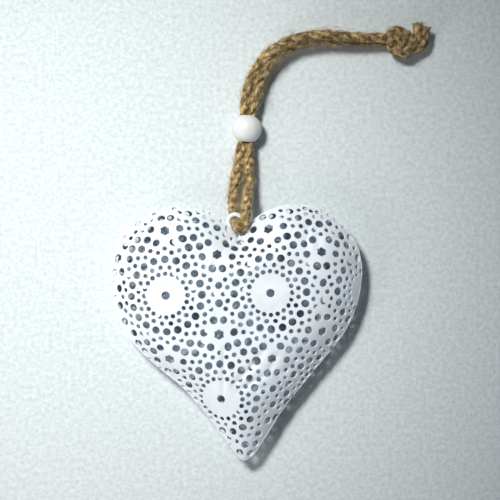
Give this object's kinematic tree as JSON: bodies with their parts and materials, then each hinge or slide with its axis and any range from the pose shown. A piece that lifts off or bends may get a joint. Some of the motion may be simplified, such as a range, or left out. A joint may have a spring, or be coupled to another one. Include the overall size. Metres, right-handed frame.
{
  "type": "punched tin heart ornament",
  "caption": "Puffed heart ornament of pierced pressed tin, hung by a wire eye from a knotted loop of jute twine that runs through a sliding bead.",
  "frame": {"origin": "under the middle of the heart's outline, on the flat crest of its back", "axes": "+Z out of the front shell, +Y from the tip to the cleft and its eye, +X to the right seen from the front"},
  "size_m": [0.1044, 0.1392, 0.016],
  "materials": {
    "white_paint": "thin white paint over tinplate, satin, bare grey tin inside",
    "bare_tin": "dull solder and bare tin",
    "eye_paint": "wire under the same white paint",
    "bead_lacquer": "smooth white lacquer over a turned bead",
    "jute": "three-ply natural jute with loose fibres"
  },
  "bodies": {
    "heart": {"front_shell": "white_paint", "back_shell": "white_paint", "seam_solder": "bare_tin", "hanging_eye": "eye_paint"},
    "cord": {"twine_bight": "jute", "twine_left": "jute", "twine_right": "jute", "twine_knot": "jute", "twine_tails": "jute"},
    "bead": {"bead": "bead_lacquer"}
  },
  "joints": [
    {"name": "cord_swing", "type": "hinge", "parent": "heart", "child": "cord", "pos_m": [-0.0004, 0.0387, 0.008], "axis": [1, 0, 0], "range_deg": [-90, 90], "deforming": ["twine_bight"]},
    {"name": "bead_slide", "type": "slide", "parent": "cord", "child": "bead", "axis": [0.1132, 0.9936, 0], "range_m": [-0.014, 0.005], "deforming": ["twine_left", "twine_right"]}
  ]
}
